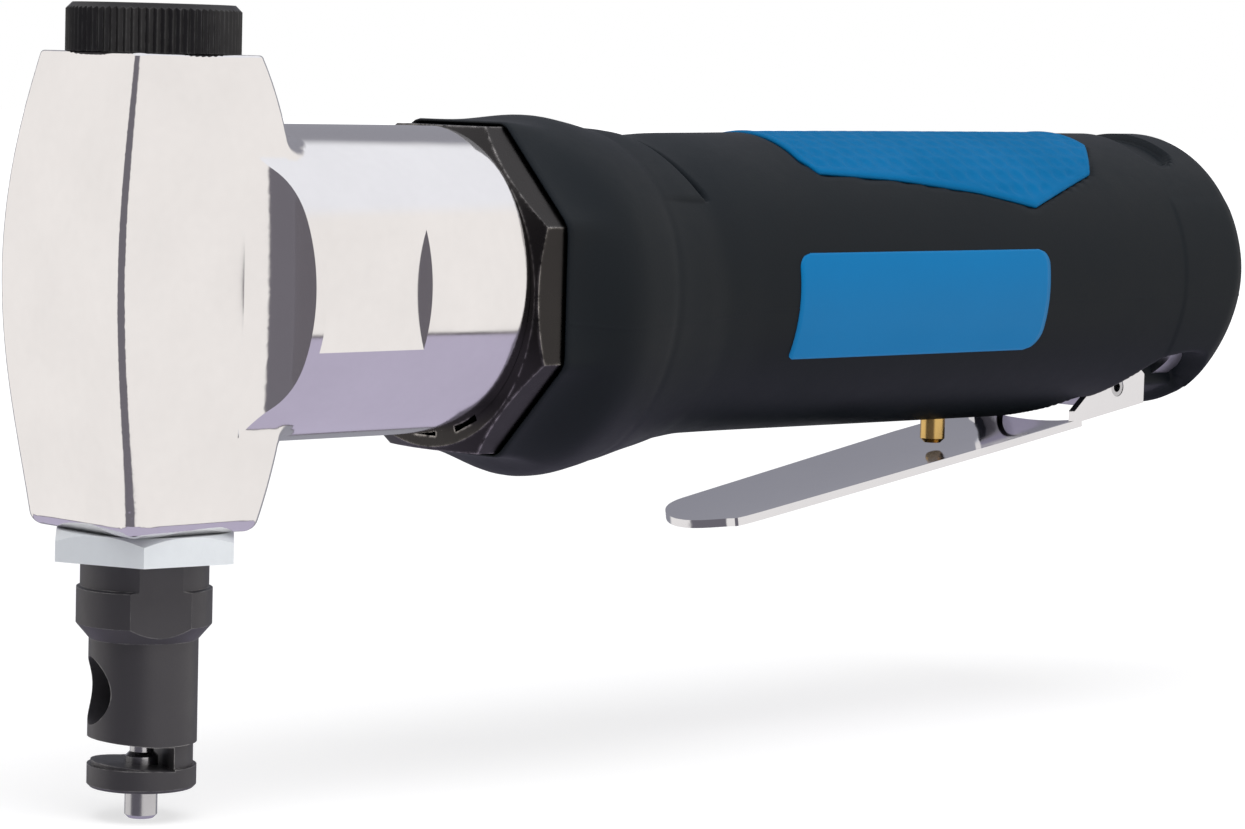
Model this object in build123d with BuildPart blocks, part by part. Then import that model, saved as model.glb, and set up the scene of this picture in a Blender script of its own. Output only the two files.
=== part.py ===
from build123d import *
import os
from math import atan2, cos, pi, radians, sin, sqrt, tan

os.makedirs("parts", exist_ok=True)

# A pneumatic nibbler. Millimetres. The origin is on the punch axis at the underside of the die
# foot, +Z runs up the ram and +X runs back along the handle.

# Layout
AXIS_Z = 68.7          # handle axis above the die foot
RUNNING = 0.04         # radial clearance of a shaft in its hole
SEATED = 0.02          # radial clearance of a piece pressed or screwed home

# Head
HEAD_BOTTOM = 35.6
HEAD_TOP = 100.2
NECK_RADIUS = 22.1
NECK_FRONT = 11.2
NECK_FILLET = 6.0
NECK_END = 49.7
FLAT_HALF_WIDTH = 20.5
FLAT_END = 31.7
RAM_BORE = 10.0
SPIGOT_RADIUS = 19.0
SPIGOT_END = 62.5
MOTOR_BORE = 16.5

# Ram, punch and crank
THROW = 2.0            # crank throw, so the stroke is twice this
RAM_RADIUS = 8.0
RAM_BOTTOM = 47.0
RAM_TOP = 92.0
PUNCH_RADIUS = 3.98
PUNCH_HEAD = 2.25
PUNCH_NECK = 1.65
PUNCH_PIN = 1.25
ROLLER_RADIUS = 3.5
CRANK_PIN = 2.0
JOURNAL = 6.0

# Stations along the crank, from the head to the motor
DISC_FRONT = 9.6
DISC_RADIUS = 9.0
BEARING_FRONT = 13.0
BEARING_RADIUS = 13.0
FLANGE_FRONT = 29.5
FLANGE_WIDTH = 2.6
FLANGE_RADIUS = 13.2
BUSH_LEVELS = ((46.0, 57.0), (82.0, 94.0))
PLATE_FRONT = 43.0
MOTOR_BACK = 109.5
INLET_SEAT = 188.0
VALVE_CEILING = 80.0

# Die
DIE_TURN = -20.8       # the die's rear direction about Z
DIE_BARREL = 7.5
DIE_SHANK = 8.0
SLOT_FLOOR = 3.1
SLOT_CEILING = 6.3
LOCKNUT_FLATS = 24.0
LOCKNUT_TURN = -7.5
LOCKNUT_BOTTOM = HEAD_BOTTOM - 4.05

# Planetary gear
MODULE = 0.7
SUN_TEETH = 12
PLANET_TEETH = 15
RING_TEETH = SUN_TEETH + 2 * PLANET_TEETH
PLANET_COUNT = 3
PLANET_PIN = 1.5
PRESSURE_ANGLE = 20.0
GEAR_FRONT = 32.4
GEAR_WIDTH = 8.0
PLANET_ORBIT = MODULE * (SUN_TEETH + PLANET_TEETH) / 2

# Motor
ROTOR_FRONT = 50.3
ROTOR_BACK = 99.7
ROTOR_RADIUS = 9.8
CYLINDER_BORE = 11.6
CYLINDER_OFFSET = 1.6
VANE_COUNT = 5
VANE_THICKNESS = 1.5
SHAFT = 4.0

# Handle
HOUSING_RADIUS = 20.4
HOUSING_FRONT = 56.0
HOUSING_BACK = 205.0
COLLAR_DROP = 1.2
COLLAR_INRADIUS = 23.4
GRIP_FRONT = 55.0
BELL_BACK = 97.3
GRIP_BACK = 210.0
GRIP_DROP = 1.3
GRIP_RADIUS = 23.3

# Lever and valve
PIVOT_X = 190.5
PIVOT_Z = 49.1
LEVER_SLOPE = 8.9
LEVER_TIP_X = 103.0
LEVER_TIP_Z = 29.6
LEVER_HALF_WIDTH = 11.6
LEVER_SHEET = 1.25
LEVER_PIN = 1.5
VALVE_X = 158.3

# Air inlet, tapped for a quarter-inch pipe thread
INLET_BORE = 5.72
INLET_DEPTH = 11.0

handle_side = Plane(origin=(0, 0, AXIS_Z), x_dir=(1, 0, 0), z_dir=(0, -1, 0))
handle_axis = Axis((0, 0, AXIS_Z), (1, 0, 0))
ram_side = Plane.XZ


def across(x, drop=0.0):
    """The plane across the handle at x, with its centre a little below the handle axis."""
    return Plane(origin=(x, 0, AXIS_Z - drop), x_dir=(0, 1, 0), z_dir=(1, 0, 0))


def beside(x, z, y):
    """The plane of the handle's side at one point; its normal is -Y."""
    return Plane(origin=(x, y, z), x_dir=(1, 0, 0), z_dir=(0, -1, 0))


def save(piece, label):
    """Label one finished piece and write it as a STEP file."""
    piece.part.label = label
    export_step(piece.part, f"parts/{label}.step")


def turned(outline, side, axis):
    """A piece turned on a lathe from its half outline."""
    with BuildPart() as piece:
        with BuildSketch(side):
            with BuildLine():
                Polyline(*outline, close=True)
            make_face()
        revolve(axis=axis)
    return piece


def involute(radius, base):
    """Polar angle, in radians, that the involute of a base circle has reached at a radius."""
    roll = sqrt(max((radius / base) ** 2 - 1, 0))
    return roll - atan2(roll, 1)


def gear_outline(teeth, outer_reach, inner_reach, backlash, phase):
    """Closed outline of an involute gear, with a tooth centred on the phase angle.

    The reaches are the tooth's height above and below the pitch circle, in modules.
    """
    pitch = MODULE * teeth / 2
    base = pitch * cos(radians(PRESSURE_ANGLE))
    half = pi / (2 * teeth) + involute(pitch, base) - backlash / pitch
    low = pitch - inner_reach * MODULE
    high = pitch + outer_reach * MODULE
    radii = [low + (high - low) * step / 4 for step in range(5)]
    points = []
    for tooth in range(teeth):
        centre = radians(phase) + 2 * pi * tooth / teeth
        flank = [(radius, half - involute(max(radius, base), base)) for radius in radii]
        points += [(r * cos(centre - a), r * sin(centre - a)) for r, a in flank]
        points += [(r * cos(centre + a), r * sin(centre + a)) for r, a in reversed(flank)]
    return points


def bearing(middles, width, inner, outer, ball, count):
    """Outer races, inner races and balls of like ball bearings on the handle axis."""
    track = (inner + outer) / 2
    lip = 0.55 * ball
    races = []
    for low, high in ((track + lip, outer), (inner, track - lip)):
        with BuildPart() as race:
            with BuildSketch(handle_side):
                for middle in middles:
                    with Locations((middle, (low + high) / 2)):
                        Rectangle(width, high - low)
                for middle in middles:
                    with Locations((middle, track)):
                        Circle(ball + RUNNING, mode=Mode.SUBTRACT)
            revolve(axis=handle_axis)
        races.append(race)
    with BuildPart() as balls:
        for middle in middles:
            with Locations(across(middle)):
                with PolarLocations(track, count):
                    Sphere(ball)
    return races[0], races[1], balls


# ---------------------------------------------------------------- angle head
# Outline of the head block at each level: height, front face, rear face, half width, corner radius
HEAD_LEVELS = (
    (HEAD_BOTTOM, -11.4, 10.3, 12.2, 2.3),
    (50.0, -13.4, 13.6, 13.4, 1.8),
    (70.0, -15.1, 15.0, 14.1, 1.4),
    (88.0, -13.5, 13.8, 13.2, 1.4),
    (HEAD_TOP, -11.0, 10.4, 11.4, 1.4),
)

with BuildPart() as angle_head:
    for level, front, rear, half_width, corner in HEAD_LEVELS:
        with BuildSketch(Plane.XY.offset(level)):
            with Locations(((front + rear) / 2, 0)):
                RectangleRounded(rear - front, 2 * half_width, corner)
    loft()
    with BuildSketch(across(NECK_FRONT)):
        Circle(NECK_RADIUS)
    extrude(amount=NECK_END - NECK_FRONT)
    # The block runs into the neck through a fillet over the top and down both sides
    joint_edges = [
        edge
        for edge in angle_head.edges()
        if edge.geom_type != GeomType.CIRCLE
        and NECK_FRONT - 0.3 < edge.bounding_box().min.X
        and edge.bounding_box().max.X < NECK_FRONT + 9
        and AXIS_Z - NECK_RADIUS < edge.bounding_box().min.Z
        and edge.bounding_box().max.Z < AXIS_Z + NECK_RADIUS + 0.5
    ]
    fillet(joint_edges, radius=NECK_FILLET)
    fillet(angle_head.faces().sort_by(Axis.Z)[0].edges(), radius=2.2)
    fillet(angle_head.faces().sort_by(Axis.Z)[-1].edges(), radius=0.6)
    # Threaded spigot that screws into the handle
    with BuildSketch(across(NECK_END)):
        Circle(SPIGOT_RADIUS)
    extrude(amount=SPIGOT_END - NECK_END)
    # Wrench flats
    with BuildSketch(Plane.XZ.offset(-30)):
        with Locations(((NECK_FRONT + FLAT_END) / 2 + 1, AXIS_Z)):
            Rectangle(FLAT_END - NECK_FRONT - 2, 40)
    extrude(amount=30 - FLAT_HALF_WIDTH, mode=Mode.SUBTRACT)
    with BuildSketch(Plane.XZ.offset(30)):
        with Locations(((NECK_FRONT + FLAT_END) / 2 + 1, AXIS_Z)):
            Rectangle(FLAT_END - NECK_FRONT - 2, 40)
    extrude(amount=-(30 - FLAT_HALF_WIDTH), mode=Mode.SUBTRACT)
    # Ram bore, die bore, crank chamber, bearing seat and gear bore
    with BuildSketch(Plane.XY.offset(BUSH_LEVELS[0][0])):
        Circle(RAM_BORE)
    extrude(amount=HEAD_TOP, mode=Mode.SUBTRACT)
    with BuildSketch(Plane.XY.offset(HEAD_BOTTOM - 1)):
        Circle(DIE_SHANK + RUNNING)
    extrude(amount=BUSH_LEVELS[0][0] - HEAD_BOTTOM + 2, mode=Mode.SUBTRACT)
    for start, end, radius in (
        (0, BEARING_FRONT, DISC_RADIUS + 0.5),
        (BEARING_FRONT, FLANGE_FRONT - 0.3, BEARING_RADIUS + SEATED),
        (FLANGE_FRONT - 0.3, SPIGOT_END, MOTOR_BORE),
    ):
        with BuildSketch(across(start)):
            Circle(radius)
        extrude(amount=end - start, mode=Mode.SUBTRACT)

save(angle_head, "angle_head")

# ---------------------------------------------------------------- ram cap, seal and bushes
CAP_RADIUS = 11.9
CAP_HEIGHT = 6.6
CAP_RIBS = 72
PLUG_BOTTOM = 96.9
SEAL_Z = 98.6

cap_outline = []
for step in range(2 * CAP_RIBS):
    angle = pi * step / CAP_RIBS
    radius = CAP_RADIUS - 0.35 * (step % 2)
    cap_outline.append((radius * cos(angle), radius * sin(angle)))

with BuildPart() as ram_cap:
    with BuildSketch(Plane.XY.offset(HEAD_TOP)):
        with BuildLine():
            Polyline(*cap_outline, close=True)
        make_face()
    extrude(amount=CAP_HEIGHT)
    with BuildSketch(Plane.XY.offset(PLUG_BOTTOM)):
        Circle(RAM_BORE - SEATED)
    extrude(amount=HEAD_TOP - PLUG_BOTTOM)
    with BuildSketch(ram_side):
        with Locations((RAM_BORE, SEAL_Z)):
            Rectangle(2.4, 1.6)
    revolve(axis=Axis.Z, mode=Mode.SUBTRACT)
    with BuildSketch(ram_side):
        with BuildLine():
            Polyline(
                (CAP_RADIUS - 0.9, HEAD_TOP + CAP_HEIGHT),
                (CAP_RADIUS + 1, HEAD_TOP + CAP_HEIGHT),
                (CAP_RADIUS + 1, HEAD_TOP + CAP_HEIGHT - 1.9),
                close=True,
            )
        make_face()
    revolve(axis=Axis.Z, mode=Mode.SUBTRACT)
    with BuildSketch(Plane.XY.offset(PLUG_BOTTOM)):
        Circle(7)
    extrude(amount=5, mode=Mode.SUBTRACT)

with BuildPart() as cap_seal:
    with BuildSketch(ram_side):
        with Locations((RAM_BORE - 0.6, SEAL_Z)):
            Circle(0.56)
    revolve(axis=Axis.Z)

with BuildPart() as ram_bushes:
    for bottom, top in BUSH_LEVELS:
        with BuildSketch(Plane.XY.offset(bottom)):
            Circle(RAM_BORE - SEATED)
            Circle(RAM_RADIUS + RUNNING, mode=Mode.SUBTRACT)
        extrude(amount=top - bottom)

save(ram_cap, "ram_cap")
save(cap_seal, "cap_seal")
save(ram_bushes, "ram_bushes")

# ---------------------------------------------------------------- ram, punch and punch pin
# The window across the ram takes the crank roller. It is a throw taller above and below than the
# roller's own travel, so the ram and the crank can each be set on their own.
CRANK_PIN_Z = AXIS_Z - THROW
WINDOW_HALF = 2 * THROW + ROLLER_RADIUS + 0.15
PUNCH_TIP = -4.4
PUNCH_TOP = 56.5
PIN_Z = 51.5

with BuildPart() as ram:
    with BuildSketch(Plane.XY.offset(RAM_BOTTOM)):
        Circle(RAM_RADIUS)
    extrude(amount=RAM_TOP - RAM_BOTTOM)
    chamfer(ram.edges().filter_by(GeomType.CIRCLE), length=0.8)
    with BuildSketch(Plane.XZ.offset(-12)):
        with Locations((0.3 + RAM_RADIUS / 2 + 0.5, CRANK_PIN_Z)):
            Rectangle(RAM_RADIUS + 1, 2 * WINDOW_HALF)
    extrude(amount=24, mode=Mode.SUBTRACT)
    with BuildSketch(Plane.XY.offset(RAM_BOTTOM)):
        Circle(PUNCH_RADIUS + SEATED)
    extrude(amount=PUNCH_TOP - RAM_BOTTOM + 0.2, mode=Mode.SUBTRACT)
    with BuildSketch(beside(0, PIN_Z, 12)):
        Circle(PUNCH_PIN + SEATED)
    extrude(amount=24, mode=Mode.SUBTRACT)
    with BuildSketch(Plane.XY.offset(RAM_TOP - 9)):
        Circle(3)
    extrude(amount=9, mode=Mode.SUBTRACT)

punch_outline = [
    (0, PUNCH_TIP),
    (PUNCH_HEAD - 0.5, PUNCH_TIP),
    (PUNCH_HEAD, PUNCH_TIP + 0.5),
    (PUNCH_HEAD, 4.2),
    (PUNCH_NECK, 4.8),
    (PUNCH_NECK, 17.0),
    (PUNCH_RADIUS, 20.5),
    (PUNCH_RADIUS, PUNCH_TOP),
    (0, PUNCH_TOP),
]
with BuildPart() as punch:
    with BuildSketch(ram_side):
        with BuildLine():
            Polyline(*punch_outline, close=True)
        make_face()
    revolve(axis=Axis.Z)
    with BuildSketch(beside(0, PIN_Z, 12)):
        Circle(PUNCH_PIN + SEATED)
    extrude(amount=24, mode=Mode.SUBTRACT)

with BuildPart() as punch_pin:
    with BuildSketch(beside(0, PIN_Z, 7.2)):
        Circle(PUNCH_PIN)
        Circle(0.6, mode=Mode.SUBTRACT)
    extrude(amount=14.4)

save(ram, "ram")
save(punch, "punch")
save(punch_pin, "punch_pin")

# ---------------------------------------------------------------- die and locknut
die_plane = Plane(
    origin=(0, 0, 0), x_dir=(cos(radians(DIE_TURN)), sin(radians(DIE_TURN)), 0), z_dir=(0, 0, 1)
)
die_side = Plane(
    origin=(0, 0, 0), x_dir=die_plane.x_dir, z_dir=-die_plane.y_dir
)
CHIP_HOLE_Z = 13.4
CHIP_HOLE = 4.7
SLOT_DEPTH = 2.7
SLOT_TILT = tan(radians(5.0))
DIE_FLAT = 8.25

die_outline = [
    (0, 0),
    (DIE_BARREL - 0.4, 0),
    (DIE_BARREL, 0.4),
    (DIE_BARREL, 20.5),
    (9.3, 22.6),
    (9.3, 27.5),
    (8.8, 27.7),
    (8.8, LOCKNUT_BOTTOM - 0.1),
    (DIE_SHANK, LOCKNUT_BOTTOM - 0.1),
    (DIE_SHANK, 44.9),
    (DIE_SHANK - 0.6, 45.5),
    (0, 45.5),
]
with BuildPart() as die:
    with BuildSketch(ram_side):
        with BuildLine():
            Polyline(*die_outline, close=True)
        make_face()
    revolve(axis=Axis.Z)
    # Sheet slot, open to the front, with the web left behind the punch
    with BuildSketch(die_side.offset(-12)):
        with BuildLine():
            Polyline(
                (-12, SLOT_FLOOR + 12 * SLOT_TILT),
                (SLOT_DEPTH, SLOT_FLOOR - SLOT_DEPTH * SLOT_TILT),
                (SLOT_DEPTH, SLOT_CEILING - SLOT_DEPTH * SLOT_TILT),
                (-12, SLOT_CEILING + 12 * SLOT_TILT),
                close=True,
            )
        make_face()
    extrude(amount=24, mode=Mode.SUBTRACT)
    # The web's outside stands back from the barrel
    with BuildSketch(die_plane.offset(SLOT_FLOOR)):
        Circle(DIE_BARREL + 1)
        Circle(DIE_BARREL - 0.5, mode=Mode.SUBTRACT)
    extrude(amount=SLOT_CEILING - SLOT_FLOOR, mode=Mode.SUBTRACT)
    # Punch guide, cutting bore and chip hole
    with BuildSketch(die_plane.offset(-1)):
        Circle(PUNCH_HEAD + RUNNING)
    extrude(amount=11, mode=Mode.SUBTRACT)
    with BuildSketch(die_plane.offset(9)):
        Circle(PUNCH_RADIUS + RUNNING)
    extrude(amount=40, mode=Mode.SUBTRACT)
    with BuildSketch(Plane(origin=(0, 0, CHIP_HOLE_Z), x_dir=die_plane.y_dir, z_dir=-die_plane.x_dir)):
        Circle(CHIP_HOLE)
    extrude(amount=12, mode=Mode.SUBTRACT)
    # Wrench flats on both sides of the collar
    for side in (-1, 1):
        with BuildSketch(die_side.offset(side * (DIE_FLAT + 3))):
            with Locations((0, 26)):
                Rectangle(24, 12.4)
        extrude(amount=-side * 3, mode=Mode.SUBTRACT)

with BuildPart() as die_locknut:
    with BuildSketch(Plane.XY.offset(LOCKNUT_BOTTOM)):
        RegularPolygon(radius=LOCKNUT_FLATS / 2, side_count=6, major_radius=False, rotation=LOCKNUT_TURN)
        Circle(DIE_SHANK + RUNNING, mode=Mode.SUBTRACT)
    extrude(amount=HEAD_BOTTOM - 0.1 - LOCKNUT_BOTTOM)
    with BuildSketch(ram_side):
        with BuildLine():
            Polyline(
                (LOCKNUT_FLATS / 2 - 0.2, HEAD_BOTTOM),
                (LOCKNUT_FLATS / 2 + 3, HEAD_BOTTOM),
                (LOCKNUT_FLATS / 2 + 3, HEAD_BOTTOM - 1.9),
                close=True,
            )
        make_face()
    revolve(axis=Axis.Z, mode=Mode.SUBTRACT)

save(die, "die")
save(die_locknut, "die_locknut")

# ---------------------------------------------------------------- crank, roller and bearings
PIN_TIP = 0.7

with BuildPart() as crank_carrier:
    with BuildSketch(across(PIN_TIP, THROW)):
        Circle(CRANK_PIN)
    extrude(amount=DISC_FRONT - PIN_TIP + 0.5)
    for start, end, radius in (
        (DISC_FRONT, BEARING_FRONT - 0.3, DISC_RADIUS),
        (BEARING_FRONT - 0.4, FLANGE_FRONT, JOURNAL),
        (FLANGE_FRONT, FLANGE_FRONT + FLANGE_WIDTH, FLANGE_RADIUS),
    ):
        with BuildSketch(across(start)):
            Circle(radius)
        extrude(amount=end - start)
    with BuildSketch(across(FLANGE_FRONT)):
        with PolarLocations(PLANET_ORBIT, PLANET_COUNT):
            Circle(PLANET_PIN + SEATED)
    extrude(amount=FLANGE_WIDTH, mode=Mode.SUBTRACT)

with BuildPart() as planet_pins:
    with BuildSketch(across(FLANGE_FRONT + 0.2)):
        with PolarLocations(PLANET_ORBIT, PLANET_COUNT):
            Circle(PLANET_PIN)
    extrude(amount=GEAR_FRONT + GEAR_WIDTH + 0.6 - FLANGE_FRONT)

with BuildPart() as crank_roller:
    with BuildSketch(across(PIN_TIP + 0.2, THROW)):
        Circle(ROLLER_RADIUS)
        Circle(CRANK_PIN + RUNNING, mode=Mode.SUBTRACT)
    extrude(amount=RAM_RADIUS - 1.4)

save(crank_carrier, "crank_carrier")
save(planet_pins, "planet_pins")
save(crank_roller, "crank_roller")

crank_bearing = bearing(
    (BEARING_FRONT + 3.7, BEARING_FRONT + 11.9), 7.0, JOURNAL + SEATED, BEARING_RADIUS, 2.0, 9
)
save(crank_bearing[0], "crank_bearing_outer_races")
save(crank_bearing[1], "crank_bearing_inner_races")
save(crank_bearing[2], "crank_bearing_balls")

# ---------------------------------------------------------------- planetary gears
BACKLASH = 0.05

with BuildPart() as ring_gear:
    with BuildSketch(across(GEAR_FRONT - 0.2)):
        Circle(MOTOR_BORE - SEATED)
        with BuildLine():
            Polyline(*gear_outline(RING_TEETH, 1.25, 0.8, -BACKLASH, 0), close=True)
        make_face(mode=Mode.SUBTRACT)
    extrude(amount=GEAR_WIDTH + 0.4)
save(ring_gear, "ring_gear")

for number in range(PLANET_COUNT):
    place = 360 * number / PLANET_COUNT
    centre = (
        GEAR_FRONT,
        PLANET_ORBIT * cos(radians(place)),
        AXIS_Z + PLANET_ORBIT * sin(radians(place)),
    )
    with BuildPart() as planet_gear:
        with BuildSketch(Plane(origin=centre, x_dir=(0, 1, 0), z_dir=(1, 0, 0))):
            with BuildLine():
                Polyline(*gear_outline(PLANET_TEETH, 0.8, 1.2, BACKLASH, place), close=True)
            make_face()
            Circle(PLANET_PIN + RUNNING, mode=Mode.SUBTRACT)
        extrude(amount=GEAR_WIDTH)
    save(planet_gear, f"planet_gear_{number + 1}")

# ---------------------------------------------------------------- air motor
with BuildPart() as rotor_shaft:
    with BuildSketch(across(GEAR_FRONT + 0.3)):
        with BuildLine():
            Polyline(*gear_outline(SUN_TEETH, 0.8, 1.2, BACKLASH, 0), close=True)
        make_face()
    extrude(amount=PLATE_FRONT - GEAR_FRONT - 1.3)
    with BuildSketch(across(PLATE_FRONT - 1.2)):
        Circle(3.0)
    extrude(amount=4)
    for start, end, radius in (
        (PLATE_FRONT + 0.8, ROTOR_FRONT, SHAFT),
        (ROTOR_FRONT, ROTOR_BACK, ROTOR_RADIUS),
        (ROTOR_BACK, ROTOR_BACK + 8.5, SHAFT),
    ):
        with BuildSketch(across(start)):
            Circle(radius)
        extrude(amount=end - start)
    with BuildSketch(across(ROTOR_FRONT)):
        with PolarLocations(ROTOR_RADIUS - 2.4, VANE_COUNT):
            Rectangle(5.0, VANE_THICKNESS + 0.06)
    extrude(amount=ROTOR_BACK - ROTOR_FRONT, mode=Mode.SUBTRACT)

with BuildPart() as rotor_vanes:
    with BuildSketch(across(ROTOR_FRONT + 0.1)):
        with PolarLocations(ROTOR_RADIUS - 2.45, VANE_COUNT):
            Rectangle(4.7, VANE_THICKNESS)
    extrude(amount=ROTOR_BACK - ROTOR_FRONT - 0.2)

save(rotor_shaft, "rotor_shaft")
save(rotor_vanes, "rotor_vanes")

EXHAUST_DROP = 14.6    # how far the exhaust passage lies under the axis
EXHAUST_WIDTH = 9.0
EXHAUST_HEIGHT = 1.6

with BuildPart() as motor_cylinder:
    with BuildSketch(across(ROTOR_FRONT - 0.2)):
        Circle(MOTOR_BORE - SEATED)
        with Locations((0, CYLINDER_OFFSET)):
            Circle(CYLINDER_BORE, mode=Mode.SUBTRACT)
        with Locations((0, -EXHAUST_DROP)):
            Rectangle(EXHAUST_WIDTH, EXHAUST_HEIGHT, mode=Mode.SUBTRACT)
    extrude(amount=ROTOR_BACK - ROTOR_FRONT + 0.4)
    # Exhaust ports into the passage under the bore
    with BuildSketch(Plane.XY.offset(AXIS_Z - 15)):
        with GridLocations(7, 1, 5, 1):
            with Locations(((ROTOR_FRONT + ROTOR_BACK) / 2, 0)):
                Circle(1.6)
    extrude(amount=6, mode=Mode.SUBTRACT)

PLATE_SEAT = 8.0
with BuildPart() as motor_front_plate:
    with BuildSketch(across(PLATE_FRONT)):
        Circle(MOTOR_BORE - SEATED)
        Circle(4.4, mode=Mode.SUBTRACT)
        with Locations((0, -EXHAUST_DROP)):
            Rectangle(EXHAUST_WIDTH, EXHAUST_HEIGHT, mode=Mode.SUBTRACT)
    extrude(amount=ROTOR_FRONT - 0.22 - PLATE_FRONT)
    with BuildSketch(across(PLATE_FRONT + 1)):
        Circle(PLATE_SEAT + SEATED)
    extrude(amount=10, mode=Mode.SUBTRACT)

with BuildPart() as motor_rear_plate:
    with BuildSketch(across(ROTOR_BACK + 0.22)):
        Circle(MOTOR_BORE - SEATED)
        Circle(PLATE_SEAT + SEATED, mode=Mode.SUBTRACT)
        with PolarLocations(12.5, 4, start_angle=45):
            Circle(1.4, mode=Mode.SUBTRACT)
    extrude(amount=9.2)

save(motor_cylinder, "motor_cylinder")
save(motor_front_plate, "motor_front_plate")
save(motor_rear_plate, "motor_rear_plate")

rotor_bearing = bearing(
    (PLATE_FRONT + 3.7, ROTOR_BACK + 4.4), 4.6, SHAFT + SEATED, PLATE_SEAT, 1.2, 8
)
save(rotor_bearing[0], "rotor_bearing_outer_races")
save(rotor_bearing[1], "rotor_bearing_inner_races")
save(rotor_bearing[2], "rotor_bearing_balls")

# ---------------------------------------------------------------- front collar
octagon_radius = COLLAR_INRADIUS / cos(pi / 8)
with BuildPart() as front_collar:
    with BuildSketch(across(NECK_END + 0.05, COLLAR_DROP)):
        RegularPolygon(radius=octagon_radius, side_count=8, rotation=22.5)
    extrude(amount=HOUSING_FRONT - NECK_END - 0.1)
    with BuildSketch(Plane(origin=(0, 0, AXIS_Z - COLLAR_DROP), x_dir=(1, 0, 0), z_dir=(0, -1, 0))):
        with BuildLine():
            Polyline(
                (NECK_END - 1, 21.6),
                (NECK_END - 1, octagon_radius + 2),
                (NECK_END + 3.4, octagon_radius + 2),
                close=True,
            )
        make_face()
    revolve(axis=Axis((0, 0, AXIS_Z - COLLAR_DROP), (1, 0, 0)), mode=Mode.SUBTRACT)
    with BuildSketch(across(NECK_END)):
        Circle(SPIGOT_RADIUS + SEATED)
    extrude(amount=10, mode=Mode.SUBTRACT)
    # Exhaust mouths, cut through the underside
    for turn in (-24, 0, 24):
        with BuildSketch(across(NECK_END + 0.05)):
            with PolarLocations(SPIGOT_RADIUS + 2.3, 1, start_angle=270 + turn):
                Rectangle(2.4, 5.0)
        extrude(amount=10, mode=Mode.SUBTRACT)
save(front_collar, "front_collar")

# ---------------------------------------------------------------- motor housing
VALVE_CHAMBER = 5.0
LUG_HALF = 9.8
with BuildPart() as motor_housing:
    with BuildSketch(across(HOUSING_FRONT)):
        Circle(HOUSING_RADIUS)
    extrude(amount=HOUSING_BACK - HOUSING_FRONT)
    # Lug under the rear that carries the lever's pivot pin
    with BuildSketch(Plane.XZ.offset(-LUG_HALF)):
        with Locations((PIVOT_X, PIVOT_Z + 3)):
            RectangleRounded(11, 13, 3.5)
    extrude(amount=2 * LUG_HALF)
    for start, end, radius in (
        (HOUSING_FRONT, SPIGOT_END + 0.1, SPIGOT_RADIUS + SEATED),
        (HOUSING_FRONT, MOTOR_BACK, MOTOR_BORE),
        (MOTOR_BACK, HOUSING_BACK, 4.0),
        (INLET_SEAT, HOUSING_BACK, 9.0),
    ):
        with BuildSketch(across(start)):
            Circle(radius)
        extrude(amount=end - start, mode=Mode.SUBTRACT)
    with BuildSketch(Plane.XY.offset(AXIS_Z - HOUSING_RADIUS - 2)):
        with Locations((VALVE_X, 0)):
            Circle(VALVE_CHAMBER)
    extrude(amount=VALVE_CEILING - AXIS_Z + HOUSING_RADIUS + 2, mode=Mode.SUBTRACT)
    # Room beside the lug for the lever's ears
    for outside in (-LUG_HALF, 30):
        with BuildSketch(Plane.XZ.offset(outside)):
            with Locations((PIVOT_X, PIVOT_Z)):
                RectangleRounded(21, 13, 3)
        extrude(amount=LUG_HALF - 30, mode=Mode.SUBTRACT)
    with BuildSketch(beside(PIVOT_X, PIVOT_Z, 30)):
        Circle(LEVER_PIN + SEATED)
    extrude(amount=60, mode=Mode.SUBTRACT)
save(motor_housing, "motor_housing")

# ---------------------------------------------------------------- lever and its pin
lever_slope = radians(LEVER_SLOPE)
lever_run = Plane(
    origin=(LEVER_TIP_X, 0, LEVER_TIP_Z), x_dir=(0, 1, 0), z_dir=(cos(lever_slope), 0, sin(lever_slope))
)
lever_face = Plane(
    origin=(LEVER_TIP_X, 0, LEVER_TIP_Z),
    x_dir=(cos(lever_slope), 0, sin(lever_slope)),
    z_dir=(-sin(lever_slope), 0, cos(lever_slope)),
)
LEVER_LENGTH = 82.0
LEVER_DISH = 1.0       # how far the long edges stand above the middle
LEVER_TIP_HALF = 9.6
EAR_INNER = LEVER_HALF_WIDTH - LEVER_SHEET
dish_radius = (LEVER_HALF_WIDTH**2 + LEVER_DISH**2) / (2 * LEVER_DISH)

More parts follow.
